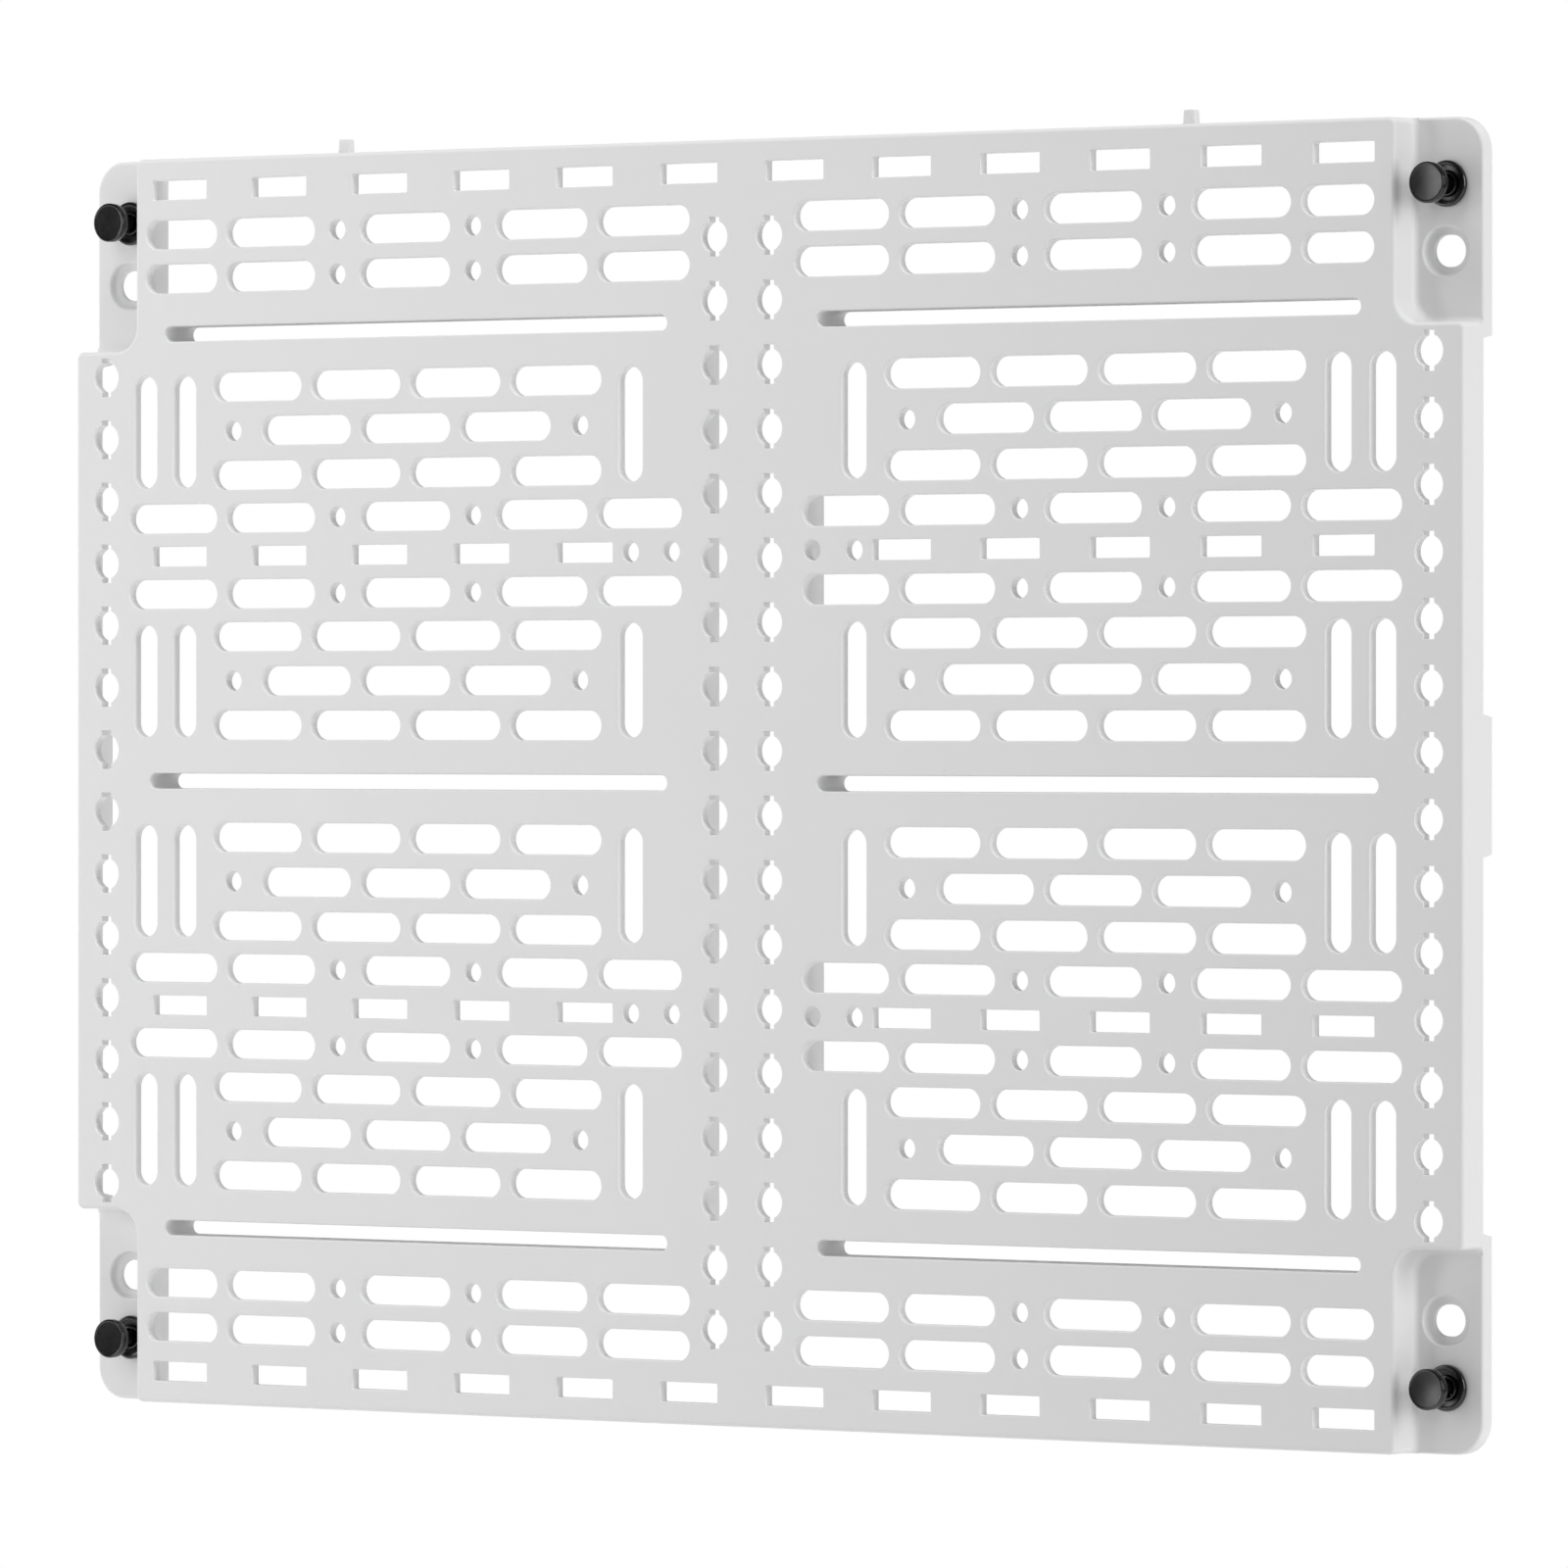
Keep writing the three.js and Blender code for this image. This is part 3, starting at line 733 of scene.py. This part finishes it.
# ---- Plate ----------------------------------------------------------------------------------
def plate_block():
    """The face and its rounded edges, spread by a fillet where they meet the ears."""
    outline = cross(HALF_WIDTH, HALF_HEIGHT, EAR_X, EAR_Z, FACE_CORNER, EAR_CORNER)
    profile = round_over(FACE_LIP, 0)
    profile += fillet_out(EAR_FILLET, EAR_DEPTH + LIP_START, FILLET_STEPS)
    profile.append((EAR_FILLET, EAR_DEPTH + PAST))
    return lofted("plate_shell", [(outline, profile)])


def plate_limits():
    outline = rectangle((-HALF_WIDTH, HALF_WIDTH), (-HALF_HEIGHT, HALF_HEIGHT), PLATE_CORNER)
    return lofted("plate_limits", [(outline, [(0, -PAST), (0, PLATE_DEPTH + PAST)])])


def ear_sheet_and_tabs():
    """The sheet that the ears and feet are left from, and the two locating tabs."""
    outline = rectangle((-HALF_WIDTH, HALF_WIDTH), (-HALF_HEIGHT, HALF_HEIGHT), PLATE_CORNER)
    profile = round_over(EAR_LIP, EAR_DEPTH)
    profile += [(0, PLATE_DEPTH - BACK_CHAMFER), (-BACK_CHAMFER, PLATE_DEPTH)]
    shapes = [(outline, profile)]
    for side in SIDES.values():
        shapes.append((tab_outline(side * TAB_X), tab_profile()))
    return lofted("ear_sheet", shapes)


def tab_outline(x):
    tip = TAB_HALF_WIDTH - TAB_TAPER
    return polygon([
        (x - TAB_HALF_WIDTH, HALF_HEIGHT - WALL, 0),
        (x + TAB_HALF_WIDTH, HALF_HEIGHT - WALL, 0),
        (x + tip, TAB_TOP, TAB_ROUND),
        (x - tip, TAB_TOP, TAB_ROUND),
    ])


def tab_profile():
    front = TAB_BACK - TAB_THICKNESS
    soft = TAB_ROUND / 2
    return round_over(soft, front) + [(0, TAB_BACK - soft), (-soft, TAB_BACK)]


def back_hollow():
    """The hollow behind the face, less its ribs and the rims round the long slots."""
    x = HALF_WIDTH - WALL
    z = HALF_HEIGHT - WALL
    outline = cross(x, z, INNER_EAR_X, INNER_EAR_Z, FACE_CORNER, EAR_CORNER + WALL)
    profile = round_over(INNER_FILLET, FACE_THICKNESS) + [(0, PLATE_DEPTH + PAST)]
    hollow = lofted("back_hollow", [(outline, profile)])
    combine(hollow, "DIFFERENCE", back_walls())
    return hollow


def back_walls():
    profile = [(INNER_FILLET, FACE_THICKNESS - PAST)]
    profile += fillet_in(INNER_FILLET, FACE_THICKNESS)
    profile += [(0, RIB_DEPTH - BACK_CHAMFER), (-BACK_CHAMFER, RIB_DEPTH)]
    rib_end = EDGE_LONG_SLOT_Z - LONG_SLOT_HEIGHT / 2 - BACK_CHAMFER
    shapes = []
    for side in SIDES.values():
        xs = (side * RIB_INNER_X, side * (RIB_INNER_X + RIB_THICKNESS))
        shapes.append((rectangle(xs, (-rib_end, rib_end), RIB_THICKNESS / 2 * NEARLY), profile))
        for x0, x1, z in long_slots(side):
            reach = LONG_SLOT_HEIGHT / 2 + RIM_WALL
            xs = (min(x0, x1) - RIM_WALL, max(x0, x1) + RIM_WALL)
            shapes.append((rectangle(xs, (z - reach, z + reach), reach * NEARLY), profile))
    return lofted("back_walls", shapes)


def skirt_cuts():
    """The side walls stop short of the wall, except at the corners and at the side tabs."""
    profile = [(-FOOT_SLANT, SKIRT_DEPTH), (0, PLATE_DEPTH), (FOOT_SLANT / 3, PLATE_DEPTH + PAST)]
    shapes = []
    for side in SIDES.values():
        xs = (side * (HALF_WIDTH - WALL - PAST), side * (HALF_WIDTH + PAST))
        for level in LEVELS.values():
            zs = (level * SIDE_TAB_HALF, level * (EAR_Z - FOOT_PAST_EAR))
            shapes.append((rectangle(xs, zs), profile))
        zs = (side * (HALF_HEIGHT - WALL - PAST), side * (HALF_HEIGHT + PAST))
        shapes.append((rectangle((-INNER_EAR_X, INNER_EAR_X), zs), profile))
    return lofted("skirt_cuts", shapes)


def at_each_ear(make_shape):
    return [make_shape(side, level) for side in SIDES.values() for level in LEVELS.values()]


def ear_back(side, level):
    """The shallow hollow behind one ear. It runs a hair into the hollow behind the face."""
    inner_x = side * (INNER_EAR_X - LIP_START)
    inner_z = level * (INNER_EAR_Z - LIP_START)
    outer_x = side * (HALF_WIDTH - WALL)
    outer_z = level * (HALF_HEIGHT - WALL)
    corners = [
        (inner_x, inner_z, FACE_CORNER),
        (outer_x, inner_z, FACE_CORNER),
        (outer_x, outer_z, PLATE_CORNER - WALL),
        (inner_x, outer_z, FACE_CORNER),
    ]
    if side * level < 0:
        corners.reverse()
    return polygon(corners), [(0, EAR_BACK_DEPTH), (0, PLATE_DEPTH + PAST)]


def pin_hole(side, level):
    profile = [(0, EAR_DEPTH - PAST), (0, PLATE_DEPTH + PAST)]
    return circle(PIN_X[side], level * PIN_Z, PIN_HOLE_RADIUS), profile


def screw_hole(side, level):
    """An oblong through hole at the bottom of a soft-edged counterbore."""
    ring = COUNTERBORE_RING
    floor = EAR_DEPTH + COUNTERBORE_DEPTH
    profile = [(ring + COUNTERBORE_LIP, EAR_DEPTH - PAST)]
    for offset, depth in round_over(COUNTERBORE_LIP, EAR_DEPTH - LIP_START):
        profile.append((ring - offset, depth))
    profile.append((ring, floor - INNER_FILLET))
    profile.append((ring - INNER_FILLET / 2, floor - INNER_FILLET / 4))
    profile.append((ring - INNER_FILLET, floor))
    for offset, depth in round_over(INNER_FILLET / 2, floor, 2):
        profile.append((-offset, depth))
    profile.append((0, PLATE_DEPTH + PAST))
    half_width, half_height = (size / 2 for size in SCREW_HOLE_SIZE)
    x = side * SCREW_X
    z = level * SCREW_Z
    xs = (x - half_width, x + half_width)
    zs = (z - half_height, z + half_height)
    return rectangle(xs, zs, half_height * NEARLY), profile


def make_plate(material):
    plate = plate_block()
    combine(plate, "INTERSECT", plate_limits())
    combine(plate, "UNION", ear_sheet_and_tabs())
    combine(plate, "DIFFERENCE", back_hollow())
    combine(plate, "DIFFERENCE", skirt_cuts())
    combine(plate, "DIFFERENCE", lofted("ear_backs", at_each_ear(ear_back)))
    ear_holes = at_each_ear(pin_hole) + at_each_ear(screw_hole)
    combine(plate, "DIFFERENCE", lofted("ear_holes", ear_holes))
    combine(plate, "DIFFERENCE", hole_cutters(material))
    dress(plate, material, flat_depths=(0, EAR_DEPTH))
    return plate


def dress(thing, material, flat_depths=()):
    """Gives a piece its finish and its shading: smooth, with sharp edges kept crisp.

    Flat fronts at the given depths stay flat up to the first edge of the rounding beside them.
    """
    data = thing.data
    data.materials.clear()
    data.materials.append(material)
    count = len(data.polygons)
    data.polygons.foreach_set("material_index", [0] * count)
    data.polygons.foreach_set("use_smooth", [True] * count)
    data.set_sharp_from_angle(angle=SMOOTH_ANGLE)
    if flat_depths:
        data.normals_split_custom_set(flattened_normals(data, flat_depths))


def flattened_normals(data, flat_depths):
    """Corner normals, with those of forward faces at the flat depths turned straight ahead."""
    corners = len(data.loops)
    normals = np.zeros(corners * 3, np.float32)
    data.corner_normals.foreach_get("vector", normals)
    normals = normals.reshape(-1, 3)
    vertices = np.zeros(corners, np.int32)
    data.loops.foreach_get("vertex_index", vertices)
    places = np.zeros(len(data.vertices) * 3, np.float32)
    data.vertices.foreach_get("co", places)
    depths = places.reshape(-1, 3)[vertices, 1]
    level = np.zeros(corners, bool)
    for depth in flat_depths:
        level |= np.abs(depths - depth) < FLAT_TOLERANCE
    forward = normals[:, 1] < -math.cos(SMOOTH_ANGLE)
    normals[level & forward] = (0, -1, 0)
    return normals.tolist()


# ---- Push-in pins ---------------------------------------------------------------------------
BORE_RADIUS = 1.8 * MM
SHANK_RADIUS = 2.5 * MM
SEAT_GAP = 0.3 * MM
FLANGE_BACK = EAR_DEPTH - SEAT_GAP
FLANGE_EDGE = 0.5 * MM
FLANGE_BACK_EDGE = 0.15 * MM
BOSS_ROUND = 0.3 * MM
BOSS_SETBACK = 0.2 * MM
TROUGH_DEPTH = 0.85 * MM
TROUGH_INNER = 2.6 * MM
TROUGH_OUTER = 3.95 * MM
LEG_SLOT = 0.8 * MM
LEG_SLOT_START = 1 * MM
BARB_STEP = 0.5 * MM
BARB_LEAD = 0.3 * MM
BARB_LENGTH = 4 * MM
TIP_WALL = 0.3 * MM
SHAFT_RADIUS = 1.5 * MM
HEAD_THICKNESS = 2 * MM
HEAD_EDGE = 0.32 * MM
HEAD_DISH = 0.13 * MM
GROOVE_INSET = 0.35 * MM
GROOVE_RADIUS = HEAD_RADIUS - GROOVE_INSET
GROOVE_DEPTH = 0.8 * MM
COLLAR_INSET = 0.05 * MM
COLLAR_RADIUS = HEAD_RADIUS - COLLAR_INSET
COLLAR_FRONT_EDGE = 0.15 * MM
COLLAR_BACK_EDGE = 0.4 * MM
NECK_RADIUS = 2.4 * MM
NECK_LENGTH = 0.9 * MM
TIP_TAPER = 0.5 * MM
ROUND_STEPS = 6
EDGE_STEPS = 3  # along a small rounded edge
RIM_STEPS = 10
RIM_START = 200  # degrees: the rim's curve begins inside the trough
HEAD_STEPS = 8
HEAD_START = 215  # degrees: the head's curve begins at the edge of its dish
HEAD_END = 60  # degrees past the widest place, where the groove begins


def arc(centre, radii, start, end, steps=ROUND_STEPS):
    """Points of a (radius, depth) profile along an ellipse, between two angles in degrees."""
    points = []
    for step in range(steps + 1):
        angle = math.radians(start + (end - start) * step / steps)
        across = centre[0] + radii[0] * math.cos(angle)
        points.append((across, centre[1] + radii[1] * math.sin(angle)))
    return points


def sleeve_profile():
    """The flanged sleeve: rim, trough and boss in front, a shank, and a barb at the tip."""
    barb = SLEEVE_END - BARB_LENGTH
    boss_edge = BORE_RADIUS + BOSS_ROUND
    boss_front = FLANGE_FRONT + BOSS_SETBACK + BOSS_ROUND
    trough = (TROUGH_OUTER - TROUGH_INNER, TROUGH_DEPTH - FLANGE_EDGE)
    rim = FLANGE_FRONT + FLANGE_EDGE
    back_edge = FLANGE_RADIUS - FLANGE_BACK_EDGE
    profile = arc((boss_edge, boss_front), (BOSS_ROUND, BOSS_ROUND), 180, 360)
    profile += arc((TROUGH_INNER, rim), trough, 90, 0)
    rim_centre = (FLANGE_RADIUS - FLANGE_EDGE, rim)
    profile += arc(rim_centre, (FLANGE_EDGE, FLANGE_EDGE), RIM_START, 360, RIM_STEPS)
    profile += [(FLANGE_RADIUS, FLANGE_BACK - FLANGE_BACK_EDGE), (back_edge, FLANGE_BACK)]
    profile += [(SHANK_RADIUS, FLANGE_BACK), (SHANK_RADIUS, barb - BARB_LEAD)]
    profile += [(SHANK_RADIUS + BARB_STEP, barb), (BORE_RADIUS + TIP_WALL, SLEEVE_END)]
    profile.append((BORE_RADIUS, SLEEVE_END))
    return profile


def pin_profile():
    """The plunger: a dished head, a groove, a collar, a waisted neck and a plain shaft."""
    back = HEAD_FRONT + HEAD_THICKNESS
    rim = HEAD_RADIUS - HEAD_EDGE
    dish_radius = rim - HEAD_EDGE
    profile = []
    for step in range(ROUND_STEPS):
        share = step / ROUND_STEPS
        profile.append((share * dish_radius, HEAD_FRONT + HEAD_DISH * (2 - share * share)))
    edge_centre = (rim, HEAD_FRONT + HEAD_EDGE)
    edge_radii = (HEAD_EDGE, HEAD_EDGE)
    profile += arc(edge_centre, edge_radii, HEAD_START, 360, HEAD_STEPS)
    profile += arc(edge_centre, edge_radii, 0, HEAD_END, EDGE_STEPS)[1:]
    groove = HEAD_FRONT + GROOVE_DEPTH
    profile += [(GROOVE_RADIUS, groove - COLLAR_FRONT_EDGE), (GROOVE_RADIUS, groove)]
    front_edge = (COLLAR_FRONT_EDGE, COLLAR_FRONT_EDGE)
    front = (COLLAR_RADIUS - COLLAR_FRONT_EDGE, groove + COLLAR_FRONT_EDGE)
    profile += arc(front, front_edge, 270, 360, EDGE_STEPS)
    back_edge = (COLLAR_BACK_EDGE, COLLAR_BACK_EDGE)
    collar_back = (COLLAR_RADIUS - COLLAR_BACK_EDGE, back - COLLAR_BACK_EDGE)
    profile += arc(collar_back, back_edge, 0, 90)
    for step in range(ROUND_STEPS + 1):
        share = step / ROUND_STEPS
        radius = SHAFT_RADIUS + (NECK_RADIUS - SHAFT_RADIUS) * (1 - share) ** 2
        profile.append((radius, back + share * NECK_LENGTH))
    profile += [(SHAFT_RADIUS, SHAFT_END - TIP_TAPER), (SHAFT_RADIUS - TIP_TAPER, SHAFT_END)]
    profile.append((0, SHAFT_END))
    return profile


def leg_slots(x, z):
    """Two crossed cuts that split the shank into four legs."""
    reach = SHANK_RADIUS + BARB_STEP + PAST
    half = LEG_SLOT / 2
    arms = cross(reach, reach, half, half, 0, 0)
    outline = [(point + Vector((x, z)), direction) for point, direction in arms]
    profile = [(0, FLANGE_BACK + LEG_SLOT_START), (0, SLEEVE_END + PAST)]
    return lofted("leg_slots", [(outline, profile)])


def turned(name, x, z, profile):
    mesh = bmesh.new()
    add_lathe(mesh, x, z, profile)
    return made(name, mesh)


def make_pin(place, side, level, material):
    """One push-in pin: the sleeve in the plate, and the plunger that slides in it."""
    x = PIN_X[side]
    z = level * PIN_Z
    sleeve = turned(f"sleeve_{place}", x, z, sleeve_profile())
    combine(sleeve, "DIFFERENCE", leg_slots(x, z))
    pin = turned(f"pin_{place}", x, z, pin_profile())
    for piece, body, node in ((sleeve, "plate", "grommet"), (pin, f"plunger_{place}", "plunger")):
        dress(piece, material)
        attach(piece, body)
        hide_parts(f"{node}_{place}")


# ---- Camera, light and floor ----------------------------------------------------------------
AIM = Vector((10.5 * MM, 0, -0.1 * MM))
CAMERA_DISTANCE = 2.419
CAMERA_TURN = math.radians(36.3)
CAMERA_RISE = math.radians(0.32)
CAMERA_LENS = 282.4  # millimetres, as the sensor is
CAMERA_SENSOR = 36
CAMERA_REACH = 50
ROOM_LIGHT = 0.315
ROOM_REFLECTED = 0.06
LIGHTS = (  # name, place, width and height, watts, whether reflections show it
    ("key_light", (-0.3, -0.52, 0.05), (0.18, 0.45), 0.7, True),
    ("far_key_light", (-0.95, -0.3, 0.1), (0.3, 0.5), 2.7, True),
    ("side_light", (1.8, -0.16, 0.42), (0.4, 1.2), 14.5, True),
    ("hole_light", (0.6, 0.6, 0.05), (0.5, 0.6), 1, False),
    ("top_light", (0, -0.2, 0.9), (0.6, 0.4), 4.6, False),
    ("back_light", (-0.4, 0.8, 0.05), (0.6, 0.6), 6.7, False),
)
FLOOR_Z = -0.32
FLOOR_SIZE = 2.4


def aimed(thing, place, target):
    thing.location = place
    thing.rotation_euler = (target - place).to_track_quat("-Z", "Y").to_euler()
    bpy.context.scene.collection.objects.link(thing)
    return thing


def make_camera():
    data = bpy.data.cameras.new("camera")
    data.lens = CAMERA_LENS
    data.sensor_width = CAMERA_SENSOR
    data.clip_end = CAMERA_REACH
    back = Vector((
        math.sin(CAMERA_TURN) * math.cos(CAMERA_RISE),
        -math.cos(CAMERA_TURN) * math.cos(CAMERA_RISE),
        math.sin(CAMERA_RISE),
    ))
    place = AIM + CAMERA_DISTANCE * back
    bpy.context.scene.camera = aimed(bpy.data.objects.new("camera", data), place, AIM)


def soft_light(name, place, size, watts, reflected):
    data = bpy.data.lights.new(name, "AREA")
    data.shape = "RECTANGLE"
    data.size, data.size_y = size
    data.energy = watts
    light = aimed(bpy.data.objects.new(name, data), Vector(place), Vector((0, 0, 0)))
    light.visible_glossy = reflected


def make_world():
    """An even pale room for the light, dimmer in reflections, and clean white past the object."""
    world = bpy.data.worlds.new("room")
    bpy.context.scene.world = world
    world.use_nodes = True
    net = Net(world.node_tree)
    rays = net.add("ShaderNodeLightPath").socket.node.outputs
    shade = Wire(net, rays["Is Glossy Ray"])
    seen = Wire(net, rays["Is Camera Ray"])
    strength = ROOM_LIGHT + seen * (1 - ROOM_LIGHT) - shade * (ROOM_LIGHT - ROOM_REFLECTED)
    room = net.add("ShaderNodeBackground", None, {"Color": (1, 1, 1, 1), "Strength": strength})
    net.add("ShaderNodeOutputWorld", None, {"Surface": room})


def pale_floor(net, place):
    cloud = noise(net, place, FLOOR_CLOUD)
    return {
        "Base Color": mixed_colour(net, cloud, FLOOR_PALE, FLOOR_PALER),
        "Roughness": FLOOR_ROUGHNESS,
    }


def make_floor():
    half = FLOOR_SIZE / 2
    data = bpy.data.meshes.new("floor")
    corners = [(x, y, FLOOR_Z) for x, y in ((-half, -half), (half, -half), (half, half), (-half, half))]
    data.from_pydata(corners, [], [(0, 1, 2, 3)])
    data.materials.append(finish("pale_floor", pale_floor))
    floor = bpy.data.objects.new("floor", data)
    bpy.context.scene.collection.objects.link(floor)


# ---- Assembly -------------------------------------------------------------------------------
make_camera()
plastic = finish("white_plastic", white_plastic)
nylon = finish("black_nylon", black_nylon)
place_holes()
plate = make_plate(plastic)
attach(plate, "plate")
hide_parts("plate")
for level_name, level in LEVELS.items():
    for side_name, side in SIDES.items():
        make_pin(f"{level_name}_{side_name}", side, level, nylon)

make_world()
for light in LIGHTS:
    soft_light(*light)
make_floor()
bpy.context.scene.view_settings.view_transform = "Standard"
